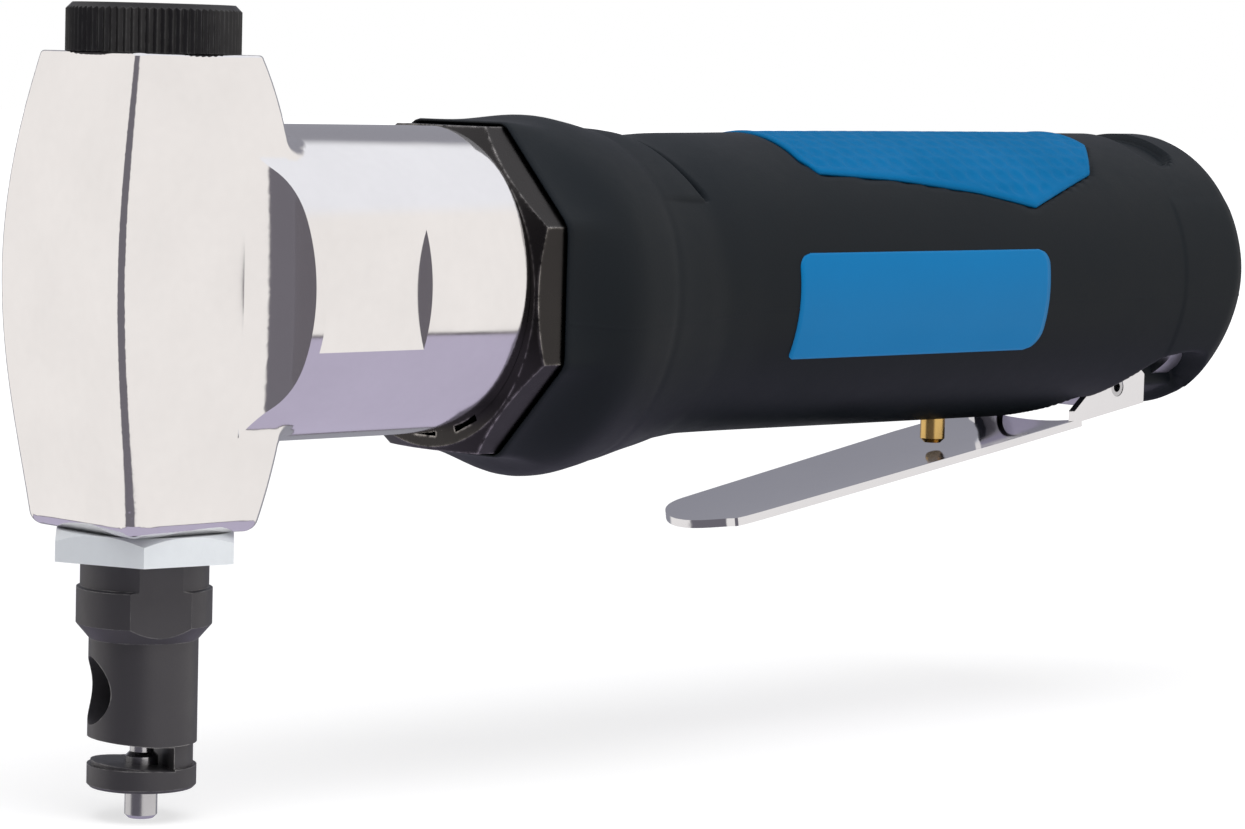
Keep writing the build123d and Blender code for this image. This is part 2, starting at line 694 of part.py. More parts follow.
with BuildPart() as trigger_lever:
    # Dished strip, cut to a rounded tip and a slight taper
    with BuildSketch(lever_run):
        with Locations((0, dish_radius)):
            Circle(dish_radius)
            Circle(dish_radius - LEVER_SHEET, mode=Mode.SUBTRACT)
        with Locations((0, -1)):
            Rectangle(2 * LEVER_HALF_WIDTH, 10, mode=Mode.INTERSECT)
    extrude(amount=LEVER_LENGTH)
    with BuildSketch(lever_face.offset(-5)):
        with BuildLine():
            Polyline(
                (9, -LEVER_TIP_HALF),
                (60, -LEVER_HALF_WIDTH),
                (LEVER_LENGTH - 2, -LEVER_HALF_WIDTH),
                (LEVER_LENGTH - 2, LEVER_HALF_WIDTH),
                (60, LEVER_HALF_WIDTH),
                (9, LEVER_TIP_HALF),
            )
            Spline(
                (9, LEVER_TIP_HALF),
                (2.6, 7.0),
                (0, 0),
                (2.6, -7.0),
                (9, -LEVER_TIP_HALF),
                tangents=((-1, -0.05), (1, -0.05)),
            )
        make_face()
    extrude(amount=14, mode=Mode.INTERSECT)
    # Ears either side of the housing lug
    for outside in (-EAR_INNER, LEVER_HALF_WIDTH):
        with BuildSketch(Plane.XZ.offset(outside)):
            with BuildLine():
                Polyline(
                    (PIVOT_X - 10.6, PIVOT_Z - 5.6),
                    (PIVOT_X + 6.8, PIVOT_Z - 2.8),
                    (PIVOT_X + 6.8, PIVOT_Z + 2.0),
                    (PIVOT_X + 4.0, PIVOT_Z + 4.3),
                    (PIVOT_X + 0.8, PIVOT_Z + 4.1),
                    (PIVOT_X - 5.5, PIVOT_Z + 0.6),
                    (PIVOT_X - 10.6, PIVOT_Z - 3.6),
                    close=True,
                )
            make_face()
        extrude(amount=-LEVER_SHEET)
    with BuildSketch(beside(PIVOT_X, PIVOT_Z, 30)):
        Circle(LEVER_PIN + RUNNING)
    extrude(amount=60, mode=Mode.SUBTRACT)

with BuildPart() as lever_pin:
    with BuildSketch(beside(PIVOT_X, PIVOT_Z, LEVER_HALF_WIDTH - 0.1)):
        Circle(LEVER_PIN)
        Circle(0.8, mode=Mode.SUBTRACT)
    extrude(amount=2 * LEVER_HALF_WIDTH - 0.2)

save(trigger_lever, "trigger_lever")
save(lever_pin, "lever_pin")

# ---------------------------------------------------------------- throttle valve
STEM_BOTTOM = 40.4
STEM_RADIUS = 2.0
SEAT_TOP = 60.0
POPPET_RADIUS = 3.9
stem_axis = Axis((VALVE_X, 0, 0), (0, 0, 1))
stem_side = Plane(origin=(VALVE_X, 0, 0), x_dir=(1, 0, 0), z_dir=(0, -1, 0))

valve_bush = turned(
    [
        (STEM_RADIUS + RUNNING, 46.4),
        (VALVE_CHAMBER - SEATED, 46.4),
        (VALVE_CHAMBER - SEATED, SEAT_TOP),
        (3.2, SEAT_TOP),
        (3.2, 53.0),
        (STEM_RADIUS + RUNNING, 53.0),
    ],
    stem_side,
    stem_axis,
)
valve_stem = turned(
    [
        (0, STEM_BOTTOM),
        (1.3, STEM_BOTTOM),
        (STEM_RADIUS, STEM_BOTTOM + 0.7),
        (STEM_RADIUS, SEAT_TOP + 1.3),
        (POPPET_RADIUS, SEAT_TOP + 1.3),
        (POPPET_RADIUS, SEAT_TOP + 2.8),
        (1.2, SEAT_TOP + 3.4),
        (1.2, SEAT_TOP + 6.0),
        (0, SEAT_TOP + 6.0),
    ],
    stem_side,
    stem_axis,
)
valve_seal = turned(
    [
        (STEM_RADIUS + SEATED, SEAT_TOP + 0.1),
        (POPPET_RADIUS + 0.4, SEAT_TOP + 0.1),
        (POPPET_RADIUS + 0.4, SEAT_TOP + 1.28),
        (STEM_RADIUS + SEATED, SEAT_TOP + 1.28),
    ],
    stem_side,
    stem_axis,
)
save(valve_bush, "valve_bush")
save(valve_stem, "valve_stem")
save(valve_seal, "valve_seal")

SPRING_BOTTOM = SEAT_TOP + 3.4
SPRING_TURNS = 6
spring_height = VALVE_CEILING - SPRING_BOTTOM - 0.9
with BuildPart() as valve_spring:
    with BuildLine(Plane(origin=(VALVE_X, 0, SPRING_BOTTOM + 0.45), z_dir=(0, 0, 1))):
        coil = Helix(pitch=spring_height / SPRING_TURNS, height=spring_height, radius=2.6)
    with BuildSketch(Plane(origin=coil @ 0, z_dir=coil % 0)):
        Circle(0.4)
    sweep()
save(valve_spring, "valve_spring")

# ---------------------------------------------------------------- grip sleeve
# The bell at the grip's front, at even steps from its lip: radius and drop of its centre
BELL = (
    (26.3, 1.5),
    (26.4, 2.65),
    (26.45, 2.7),
    (25.05, 2.75),
    (23.9, 2.55),
    (23.15, 1.8),
    (22.85, GRIP_DROP),
)
LIP_REACH = 0.8        # how far the lip stands outside the collar's flats
LIP_BACK = 68.0
INLAY_DEPTH = 1.2
LABEL_FRONT = 102.0
LABEL_BACK = 160.5


def grip_band(front, back, outer, inner):
    """A sleeve that follows the grip's straight rear stretch."""
    return turned(
        [(front, inner), (back, inner), (back, outer), (front, outer)],
        Plane(origin=(0, 0, AXIS_Z - GRIP_DROP), x_dir=(1, 0, 0), z_dir=(0, -1, 0)),
        Axis((0, 0, AXIS_Z - GRIP_DROP), (1, 0, 0)),
    )


with BuildPart() as grip_inlay:
    with BuildSketch(Plane.XY.offset(AXIS_Z)):
        with BuildLine():
            Polyline(
                (116, -5),
                (128, -17.6),
                (172, -19.8),
                (187, -9.5),
                (187, 9.5),
                (172, 19.8),
                (128, 17.6),
                (116, 5),
                close=True,
            )
        make_face()
    extrude(amount=30)
    add(grip_band(110, 192, GRIP_RADIUS + 0.15, GRIP_RADIUS - INLAY_DEPTH).part, mode=Mode.INTERSECT)

with BuildPart() as side_labels:
    with BuildSketch(Plane.XZ.offset(-30)):
        with Locations(((LABEL_FRONT + LABEL_BACK) / 2, AXIS_Z - 2.7)):
            RectangleRounded(LABEL_BACK - LABEL_FRONT, 16.0, 3.0)
    extrude(amount=60)
    add(grip_band(LABEL_FRONT - 2, LABEL_BACK + 2, GRIP_RADIUS, GRIP_RADIUS - 1.0).part, mode=Mode.INTERSECT)

with BuildPart() as lip_shape:
    for station, inradius in ((GRIP_FRONT, COLLAR_INRADIUS + LIP_REACH), (LIP_BACK, 27.5)):
        with BuildSketch(across(station, COLLAR_DROP)):
            RegularPolygon(radius=inradius, side_count=8, major_radius=False, rotation=22.5)
    loft(ruled=True)
    with BuildSketch(across(LIP_BACK)):
        Circle(32)
    extrude(amount=GRIP_BACK - LIP_BACK)

with BuildPart() as grip_sleeve:
    for step, (radius, drop) in enumerate(BELL):
        with BuildSketch(across(GRIP_FRONT + (BELL_BACK - GRIP_FRONT) * step / (len(BELL) - 1), drop)):
            Circle(radius)
    loft()
    for station, radius in ((BELL_BACK, BELL[-1][0]), (GRIP_BACK, GRIP_RADIUS)):
        with BuildSketch(across(station, GRIP_DROP)):
            Circle(radius)
    loft(ruled=True)
    fillet(grip_sleeve.faces().sort_by(Axis.X)[-1].edges(), radius=6.5)
    # The lip follows the collar's eight sides
    add(lip_shape.part, mode=Mode.INTERSECT)
    # Bore for the housing, and the mouth that clears the collar
    with BuildSketch(across(0)):
        Circle(HOUSING_RADIUS + SEATED)
    extrude(amount=HOUSING_BACK, mode=Mode.SUBTRACT)
    with BuildSketch(across(0, COLLAR_DROP)):
        RegularPolygon(radius=octagon_radius + 0.3, side_count=8, rotation=22.5)
    extrude(amount=HOUSING_FRONT, mode=Mode.SUBTRACT)
    with BuildSketch(across(HOUSING_BACK - 1)):
        Circle(10.2)
    extrude(amount=20, mode=Mode.SUBTRACT)
    # Hollow for the lever, clear of it all the way up
    with BuildSketch(Plane.XZ.offset(-LEVER_HALF_WIDTH - 0.6)):
        with BuildLine():
            Polyline(
                (166, 38),
                (166, 43.0),
                (176, 46.0),
                (PIVOT_X - 9, 49.0),
                (PIVOT_X - 5, 56.5),
                (PIVOT_X + 8.5, 56.5),
                (PIVOT_X + 8.5, 38),
                close=True,
            )
        make_face()
    extrude(amount=2 * LEVER_HALF_WIDTH + 1.2, mode=Mode.SUBTRACT)
    for side in (-1, 1):
        with BuildSketch(Plane.XZ.offset(side * 30)):
            with BuildLine():
                Polyline(
                    (174, 38),
                    (176, 44.5),
                    (184.5, 48.6),
                    (191, 53.2),
                    (194, 54.6),
                    (203, 54.6),
                    (206, 52),
                    (206, 38),
                    close=True,
                )
            make_face()
        extrude(amount=-side * 19.9, mode=Mode.SUBTRACT)
    with BuildSketch(Plane.XY.offset(38)):
        with Locations((VALVE_X, 0)):
            Circle(VALVE_CHAMBER + 0.3)
    extrude(amount=20, mode=Mode.SUBTRACT)
    add(grip_inlay.part, mode=Mode.SUBTRACT)
    add(side_labels.part, mode=Mode.SUBTRACT)

save(grip_inlay, "grip_inlay")
save(side_labels, "side_labels")
save(grip_sleeve, "grip_sleeve")

# ---------------------------------------------------------------- air inlet
with BuildPart() as inlet_bush:
    with BuildSketch(across(INLET_SEAT + 2)):
        Circle(9.0 - SEATED)
    extrude(amount=HOUSING_BACK - INLET_SEAT - 2)
    with BuildSketch(across(HOUSING_BACK)):
        RegularPolygon(radius=10.0, side_count=6)
    extrude(amount=GRIP_BACK - HOUSING_BACK)
    with BuildSketch(across(GRIP_BACK - INLET_DEPTH)):
        Circle(INLET_BORE)
    extrude(amount=INLET_DEPTH, mode=Mode.SUBTRACT)
    with BuildSketch(across(INLET_SEAT)):
        Circle(4.0)
    extrude(amount=GRIP_BACK - INLET_SEAT, mode=Mode.SUBTRACT)

with BuildPart() as inlet_screen:
    with BuildSketch(across(INLET_SEAT + 0.2)):
        Circle(8.9)
        with GridLocations(2.0, 2.0, 4, 4):
            Rectangle(1.2, 1.2, mode=Mode.SUBTRACT)
    extrude(amount=1.6)

save(inlet_bush, "inlet_bush")
save(inlet_screen, "inlet_screen")
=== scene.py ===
"""A pneumatic nibbler: the finishes of its machined parts, its moulded grip with the blue inlay and the
side labels, and a plain studio.

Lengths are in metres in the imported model's frame: +X runs back along the handle, +Z up the ram, and -Y is
the near side."""
from bisect import bisect_right
from math import asin, cos, degrees, exp, hypot, pi, radians, sin, sqrt

import bmesh
import bpy
from mathutils import Matrix, Vector


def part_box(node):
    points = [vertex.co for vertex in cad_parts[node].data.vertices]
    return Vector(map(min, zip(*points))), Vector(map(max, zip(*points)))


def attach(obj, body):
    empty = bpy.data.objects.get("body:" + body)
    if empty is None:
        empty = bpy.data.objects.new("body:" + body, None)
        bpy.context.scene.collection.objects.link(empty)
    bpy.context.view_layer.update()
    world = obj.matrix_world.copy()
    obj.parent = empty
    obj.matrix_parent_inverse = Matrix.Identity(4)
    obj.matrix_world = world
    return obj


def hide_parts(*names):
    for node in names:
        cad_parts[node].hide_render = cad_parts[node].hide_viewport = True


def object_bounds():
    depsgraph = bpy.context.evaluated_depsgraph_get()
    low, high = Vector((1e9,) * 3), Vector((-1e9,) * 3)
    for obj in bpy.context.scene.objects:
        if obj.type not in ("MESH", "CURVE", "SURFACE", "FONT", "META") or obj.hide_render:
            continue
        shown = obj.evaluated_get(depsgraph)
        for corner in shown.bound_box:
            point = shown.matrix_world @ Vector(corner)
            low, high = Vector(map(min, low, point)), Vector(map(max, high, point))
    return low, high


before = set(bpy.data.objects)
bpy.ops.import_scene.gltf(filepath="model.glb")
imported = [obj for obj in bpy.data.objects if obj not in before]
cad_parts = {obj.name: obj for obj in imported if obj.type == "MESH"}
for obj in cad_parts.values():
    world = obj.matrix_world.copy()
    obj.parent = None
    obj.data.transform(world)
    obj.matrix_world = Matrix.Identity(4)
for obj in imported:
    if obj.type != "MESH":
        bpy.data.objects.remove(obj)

bl_info = {
    "name": "Air nibbler",
    "version": (1, 0, 0),
    "blender": (4, 5, 0),
    "location": "View3D > Sidebar > Nibbler",
    "description": "Builds the looks of an angle-head air nibbler round its packed model",
    "category": "Object",
}

MM = 0.001
CAD_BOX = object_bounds()
AXIS_Z = sum(corner.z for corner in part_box("ring_gear")) / 2
SLEEVE_FRONT, SLEEVE_BACK = (corner.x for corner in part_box("grip_sleeve"))
HOUSING_FRONT, HOUSING_BACK = (corner.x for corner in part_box("motor_housing"))


# ---------------------------------------------------------------- settings


class NibblerGripSettings(bpy.types.PropertyGroup):
    """Sizes of the moulded grip and what is set into it"""

    bell_lift: bpy.props.FloatProperty(
        name="Panel Lift", description="How far the front panel stands above the grip",
        default=0.35 * MM, min=0, unit="LENGTH")
    groove_depth: bpy.props.FloatProperty(
        name="Groove Depth", description="Depth of the groove behind the front panel",
        default=1.3 * MM, min=0, unit="LENGTH")
    mould_line: bpy.props.FloatProperty(
        name="Mould Line", description="Height of the mould's parting line",
        default=0.07 * MM, min=0, unit="LENGTH")
    recess_depth: bpy.props.FloatProperty(
        name="Recess Depth", description="Depth of the pill-shaped recess on top of the rear end",
        default=1.3 * MM, min=0, unit="LENGTH")
    inlay_lift: bpy.props.FloatProperty(
        name="Inlay Lift", description="How far the rim of the inlay stands above the grip",
        default=0.3 * MM, min=0, unit="LENGTH")
    dimple_pitch: bpy.props.FloatProperty(
        name="Dimple Pitch", description="Distance between the inlay's shallow dimples",
        default=3.4 * MM, min=MM, unit="LENGTH")
    label_thickness: bpy.props.FloatProperty(
        name="Label Thickness", description="Thickness of the side labels",
        default=0.14 * MM, min=0, unit="LENGTH")


class NibblerColourSettings(bpy.types.PropertyGroup):
    """Colours of the finishes"""

    rubber: bpy.props.FloatVectorProperty(
        name="Grip", description="Colour of the grip's rubber",
        subtype="COLOR", size=3, default=(0.0052, 0.0073, 0.0096), min=0, max=1)
    inlay: bpy.props.FloatVectorProperty(
        name="Inlay", description="Colour of the soft inlay",
        subtype="COLOR", size=3, default=(0.0, 0.13, 0.32), min=0, max=1)
    label: bpy.props.FloatVectorProperty(
        name="Label", description="Colour of the side labels",
        subtype="COLOR", size=3, default=(0.0, 0.15, 0.37), min=0, max=1)
    aluminium: bpy.props.FloatVectorProperty(
        name="Aluminium", description="Colour of the polished head",
        subtype="COLOR", size=3, default=(0.88, 0.865, 0.86), min=0, max=1)
    chrome: bpy.props.FloatVectorProperty(
        name="Chrome", description="Colour of the plated lever",
        subtype="COLOR", size=3, default=(0.80, 0.80, 0.82), min=0, max=1)
    oxide: bpy.props.FloatVectorProperty(
        name="Black Oxide", description="Colour of the blackened die and cap",
        subtype="COLOR", size=3, default=(0.020, 0.019, 0.021), min=0, max=1)


class NibblerStudioSettings(bpy.types.PropertyGroup):
    """Camera and light"""

    lens: bpy.props.FloatProperty(
        name="Focal Length", description="Focal length of the camera, in millimetres on a 36 mm sensor",
        default=121.4, min=10, subtype="DISTANCE_CAMERA")
    position: bpy.props.FloatVectorProperty(
        name="Camera Position", description="Where the camera stands",
        subtype="TRANSLATION", size=3, default=(-0.34450, -0.45838, 0.10111))
    heading: bpy.props.FloatProperty(
        name="Heading", description="Direction of view, turned from +Y towards +X",
        default=radians(43.405), subtype="ANGLE", unit="ROTATION")
    pitch: bpy.props.FloatProperty(
        name="Pitch", description="How far the camera looks down",
        default=radians(4.848), subtype="ANGLE", unit="ROTATION")
    roll: bpy.props.FloatProperty(
        name="Roll", description="How far the camera is turned about its own line of sight",
        default=radians(1.515), subtype="ANGLE", unit="ROTATION")
    floor_radius: bpy.props.FloatProperty(
        name="Floor Radius", description="Radius of the pale floor", default=6.0, min=1, unit="LENGTH")
    key_power: bpy.props.FloatProperty(
        name="Key Light", description="Power of the large light above", default=5.5, min=0, subtype="POWER")
    fill_power: bpy.props.FloatProperty(
        name="Side Light", description="Power of the light beside the camera", default=0.5, min=0,
        subtype="POWER")


# ---------------------------------------------------------------- node helpers


class Graph:
    """A node tree with short ways to add nodes, set their sockets and join them."""

    def __init__(self, tree):
        self.tree = tree
        tree.nodes.clear()

    def add(self, kind, inputs=None, **settings):
        """A new node; an input is a plain value, or another node's output to link from."""
        node = self.tree.nodes.new(kind)
        for name, value in settings.items():
            setattr(node, name, value)
        for key, value in (inputs or {}).items():
            if isinstance(value, bpy.types.NodeSocket):
                self.tree.links.new(value, node.inputs[key])
            else:
                node.inputs[key].default_value = value
        return node

    def math(self, operation, *values, clamp=False):
        inputs = dict(enumerate(values))
        return self.add("ShaderNodeMath", inputs, operation=operation, use_clamp=clamp).outputs[0]

    def vector(self, operation, *values):
        node = self.add("ShaderNodeVectorMath", dict(enumerate(values)), operation=operation)
        return node.outputs["Value" if operation in ("DOT_PRODUCT", "LENGTH") else "Vector"]

    def mix(self, factor, first, second):
        """Mixes two colours."""
        node = self.add("ShaderNodeMix", data_type="RGBA")
        for key, value in ((0, factor), (6, first), (7, second)):
            if isinstance(value, bpy.types.NodeSocket):
                self.tree.links.new(value, node.inputs[key])
            else:
                node.inputs[key].default_value = value
        return node.outputs[2]

    def remap(self, value, low, high, to_low=0.0, to_high=1.0, smooth=False):
        inputs = {"Value": value, "From Min": low, "From Max": high, "To Min": to_low, "To Max": to_high}
        kind = "SMOOTHSTEP" if smooth else "LINEAR"
        return self.add("ShaderNodeMapRange", inputs, interpolation_type=kind).outputs["Result"]

    def noise(self, place, scale, detail=3.0, rough=0.5):
        inputs = {"Vector": place, "Scale": scale, "Detail": detail, "Roughness": rough}
        return self.add("ShaderNodeTexNoise", inputs).outputs["Fac"]

    def group(self, name, inputs):
        node = self.add("ShaderNodeGroup", node_tree=bpy.data.node_groups[name])
        for key, value in inputs.items():
            if isinstance(value, bpy.types.NodeSocket):
                self.tree.links.new(value, node.inputs[key])
            else:
                node.inputs[key].default_value = value
        return node


def rgba(colour):
    return (*colour, 1.0)


def new_group(name, inputs, outputs):
    """An empty shader group with named float inputs (name, default) and outputs."""
    tree = bpy.data.node_groups.new(name, "ShaderNodeTree")
    for label, default in inputs:
        socket = tree.interface.new_socket(label, in_out="INPUT", socket_type="NodeSocketFloat")
        socket.default_value = default
    for label in outputs:
        tree.interface.new_socket(label, in_out="OUTPUT", socket_type="NodeSocketFloat")
    graph = Graph(tree)
    return graph, graph.add("NodeGroupInput").outputs, graph.add("NodeGroupOutput")


def build_edge_wear():
    """Mask of the sharp outer edges, broken up as handling wears them."""
    graph, given, out = new_group(
        "Edge wear", (("Width", 0.4 * MM), ("Amount", 1.0), ("Patchiness", 400.0)), ("Mask",))
    rounded = graph.add("ShaderNodeBevel", {"Radius": given["Width"]}, samples=6).outputs["Normal"]
    true_normal = graph.add("ShaderNodeNewGeometry").outputs["Normal"]
    turn = graph.math("SUBTRACT", 1.0, graph.vector("DOT_PRODUCT", rounded, true_normal))
    place = graph.add("ShaderNodeTexCoord").outputs["Object"]
    patches = graph.remap(graph.noise(place, given["Patchiness"], 4.0, 0.65), 0.38, 0.62)
    edge = graph.remap(turn, 0.015, 0.12)
    mask = graph.math("MULTIPLY", graph.math("MULTIPLY", edge, patches), given["Amount"], clamp=True)
    graph.tree.links.new(mask, out.inputs["Mask"])


def build_handling():
    """Roughness that drifts between two values, as polishing and fingers leave it."""
    graph, given, out = new_group(
        "Handling", (("Low", 0.2), ("High", 0.3), ("Scale", 90.0)), ("Roughness", "Tone"))
    place = graph.add("ShaderNodeTexCoord").outputs["Object"]
    broad = graph.noise(place, given["Scale"], 2.0, 0.5)
    fine = graph.noise(place, graph.math("MULTIPLY", given["Scale"], 9.0), 3.0, 0.6)
    both = graph.math("ADD", graph.math("MULTIPLY", broad, 0.7), graph.math("MULTIPLY", fine, 0.3))
    drift = graph.remap(both, 0.32, 0.68)
    span = graph.math("SUBTRACT", given["High"], given["Low"])
    level = graph.math("MULTIPLY_ADD", drift, span, given["Low"])
    graph.tree.links.new(level, out.inputs["Roughness"])
    graph.tree.links.new(drift, out.inputs["Tone"])


def build_grain():
    """Height of a fine cast or moulded grain with scattered pits."""
    graph, given, out = new_group("Fine grain", (("Scale", 2500.0), ("Pits", 0.3)), ("Height",))
    place = graph.add("ShaderNodeTexCoord").outputs["Object"]
    grain = graph.noise(place, given["Scale"], 3.0, 0.6)
    cells = graph.add(
        "ShaderNodeTexVoronoi", {"Vector": place, "Scale": graph.math("MULTIPLY", given["Scale"], 0.35)})
    pits = graph.remap(cells.outputs["Distance"], 0.05, 0.3)
    dents = graph.math("MULTIPLY", graph.math("SUBTRACT", 1.0, pits), given["Pits"])
    graph.tree.links.new(graph.math("SUBTRACT", grain, dents), out.inputs["Height"])


def build_tool_marks():
    """Height of fine lines left by turning or grinding, drawn out along one axis."""
    graph, given, out = new_group(
        "Tool marks", (("Along X", 1.0), ("Along Y", 1.0), ("Along Z", 1.0)), ("Height",))
    place = graph.add("ShaderNodeTexCoord").outputs["Object"]
    stretch = graph.add("ShaderNodeCombineXYZ", {
        "X": given["Along X"], "Y": given["Along Y"], "Z": given["Along Z"]}).outputs[0]
    lines = graph.noise(graph.vector("MULTIPLY", place, stretch), 1.0, 4.0, 0.7)
    graph.tree.links.new(lines, out.inputs["Height"])


def new_material(name):
    material = bpy.data.materials.new(name)
    material.use_nodes = True
    graph = Graph(material.node_tree)
    shader = graph.add("ShaderNodeBsdfPrincipled")
    graph.add("ShaderNodeOutputMaterial", {"Surface": shader.outputs[0]})
    return material, graph, shader


def bump(graph, shader, layers):
    """Stacks bump layers (height output, height in metres) and feeds the shader's normal."""
    normal = None
    for height, distance in layers:
        inputs = {"Height": height, "Distance": distance, "Strength": 1.0}
        if normal is not None:
            inputs["Normal"] = normal
        normal = graph.add("ShaderNodeBump", inputs).outputs["Normal"]
    graph.tree.links.new(normal, shader.inputs["Normal"])


# ---------------------------------------------------------------- finishes

# The material made for each slot, filled in by the metal finishes step
FINISH_NAMES = {}


def metal(name, base, rough, worn=None, wear=0.6, width=0.35 * MM, grain=2600.0, grain_height=0.004 * MM,
          waves=0.0, marks=None, tint=0.06, pits=0.3, metallic=1.0):
    """A metal finish: drifting gloss, grain, optional tool marks, and bare metal at worn edges."""
    material, graph, shader = new_material(name)
    shader.inputs["Metallic"].default_value = metallic
    handling = graph.group("Handling", {"Low": rough[0], "High": rough[1], "Scale": 70.0})
    darker = [channel * (1 - tint) for channel in base]
    colour = graph.mix(handling.outputs["Tone"], rgba(base), rgba(darker))
    if worn:
        edge = graph.group("Edge wear", {"Width": width, "Amount": wear, "Patchiness": 500.0})
        colour = graph.mix(edge.outputs["Mask"], colour, rgba(worn))
    graph.tree.links.new(colour, shader.inputs["Base Color"])
    graph.tree.links.new(handling.outputs["Roughness"], shader.inputs["Roughness"])
    layers = []
    if waves:
        place = graph.add("ShaderNodeTexCoord").outputs["Object"]
        layers.append((graph.noise(place, 85.0, 1.0, 0.4), waves))
    if marks:
        lines = graph.group("Tool marks", dict(zip(("Along X", "Along Y", "Along Z"), marks[0])))
        layers.append((lines.outputs["Height"], marks[1]))
    fine = graph.group("Fine grain", {"Scale": grain, "Pits": pits})
    layers.append((fine.outputs["Height"], grain_height))
    bump(graph, shader, layers)
    return material


def soft(name, base, rough, specular, grain, grain_height, tone=0.25):
    """A moulded rubber or plastic: fine grain, drifting gloss and a slightly uneven colour."""
    material, graph, shader = new_material(name)
    shader.inputs["Specular IOR Level"].default_value = specular
    handling = graph.group("Handling", {"Low": rough[0], "High": rough[1], "Scale": 60.0})
    lighter = [channel * (1 + tone) for channel in base]
    colour = graph.mix(handling.outputs["Tone"], rgba(base), rgba(lighter))
    edge = graph.group("Edge wear", {"Width": 0.5 * MM, "Amount": 0.35, "Patchiness": 300.0})
    colour = graph.mix(edge.outputs["Mask"], colour, rgba([channel * 2.2 + 0.004 for channel in base]))
    graph.tree.links.new(colour, shader.inputs["Base Color"])
    graph.tree.links.new(handling.outputs["Roughness"], shader.inputs["Roughness"])
    fine = graph.group("Fine grain", {"Scale": grain, "Pits": 0.15})
    bump(graph, shader, [(fine.outputs["Height"], grain_height)])
    return material


def make_finishes(colours):
    """One material for each of the record's material slots, by slot name."""
    steel = (0.56, 0.56, 0.58)
    bare = (0.45, 0.44, 0.43)
    around_handle = ((9000.0, 200.0, 200.0), 0.0015 * MM)
    around_ram = ((200.0, 200.0, 9000.0), 0.0015 * MM)
    return {
        "polished_aluminium": metal(
            "Polished aluminium", colours.aluminium, (0.07, 0.13), waves=0.03 * MM, grain_height=0.0012 * MM,
            tint=0.05),
        "black_knurled": metal(
            "Black knurled steel", [channel / 2 for channel in colours.oxide], (0.36, 0.5),
            worn=(0.10, 0.10, 0.10), wear=0.5, grain_height=0.006 * MM, metallic=0.3),
        "seal_rubber": soft("Seal rubber", (0.012, 0.012, 0.013), (0.4, 0.5), 0.35, 3000.0, 0.004 * MM),
        "bronze": metal("Bronze", (0.50, 0.33, 0.16), (0.25, 0.38), marks=around_ram),
        "ground_steel": metal("Ground steel", steel, (0.16, 0.28), marks=around_ram, worn=(0.7, 0.7, 0.7)),
        "black_oxide": metal(
            "Black oxide", [2.6 * channel for channel in colours.oxide], (0.36, 0.52), worn=bare, wear=0.6,
            width=0.25 * MM, marks=around_ram, grain_height=0.012 * MM, metallic=0.35),
        "zinc_plate": metal(
            "Zinc plate", (0.78, 0.82, 0.85), (0.40, 0.56), worn=(0.85, 0.88, 0.9), grain_height=0.02 * MM,
            grain=1400.0, metallic=0.35),
        "gear_steel": metal("Gear steel", (0.42, 0.42, 0.43), (0.22, 0.34), worn=(0.6, 0.6, 0.6)),
        "vane_composite": soft("Vane composite", (0.09, 0.05, 0.025), (0.45, 0.6), 0.4, 1800.0, 0.01 * MM),
        "cast_iron": metal("Cast iron", (0.30, 0.30, 0.30), (0.35, 0.5), marks=around_handle, pits=0.5),
        "black_chrome": metal(
            "Black chrome", (0.042, 0.039, 0.038), (0.20, 0.34), worn=(0.60, 0.57, 0.54), wear=1.0,
            width=0.7 * MM, grain=1400.0, grain_height=0.012 * MM),
        "bare_aluminium": metal("Bare aluminium", (0.60, 0.60, 0.61), (0.26, 0.4), marks=around_handle),
        "grip_rubber": soft(
            "Grip rubber", colours.rubber, (0.42, 0.54), 0.13, 2400.0, 0.012 * MM, tone=0.2),
        "inlay_rubber": soft(
            "Inlay rubber", colours.inlay, (0.45, 0.6), 0.08, 2000.0, 0.012 * MM, tone=-0.12),
        "label_film": soft("Label film", colours.label, (0.30, 0.38), 0.15, 5000.0, 0.002 * MM, tone=0.04),
        "chrome": metal(
            "Chrome plate", colours.chrome, (0.03, 0.08), waves=0.02 * MM, grain_height=0.0008 * MM,
            tint=0.03),
        "brass": metal("Brass", (0.72, 0.48, 0.17), (0.18, 0.3), marks=around_ram),
        "spring_steel": metal("Spring steel", (0.48, 0.48, 0.5), (0.2, 0.3)),
        "inlet_steel": metal("Inlet steel", (0.55, 0.55, 0.56), (0.24, 0.36), marks=around_handle),
    }


# ---------------------------------------------------------------- shapes


def smooth_step(low, high, value):
    t = min(max((value - low) / (high - low), 0.0), 1.0)
    return t * t * (3 - 2 * t)


def soft_less(first, second, width):
    """The smaller of two values, with the corner between them rounded over a width."""
    blend = max(width - abs(first - second), 0.0) / width
    return min(first, second) - blend * blend * width / 4


def band(value, low, high, edge):
    """1 between low and high, falling smoothly to 0 over an edge outside them."""
    return smooth_step(low - edge, low, value) * (1 - smooth_step(high, high + edge, value))


def spaced(*runs):
    """Numbers from runs of (end, step) that follow on from a start."""
    values = [runs[0]]
    for end, step in runs[1:]:
        count = max(1, round((end - values[-1]) / step))
        start = values[-1]
        values += [start + (end - start) * index / count for index in range(1, count + 1)]
    return values


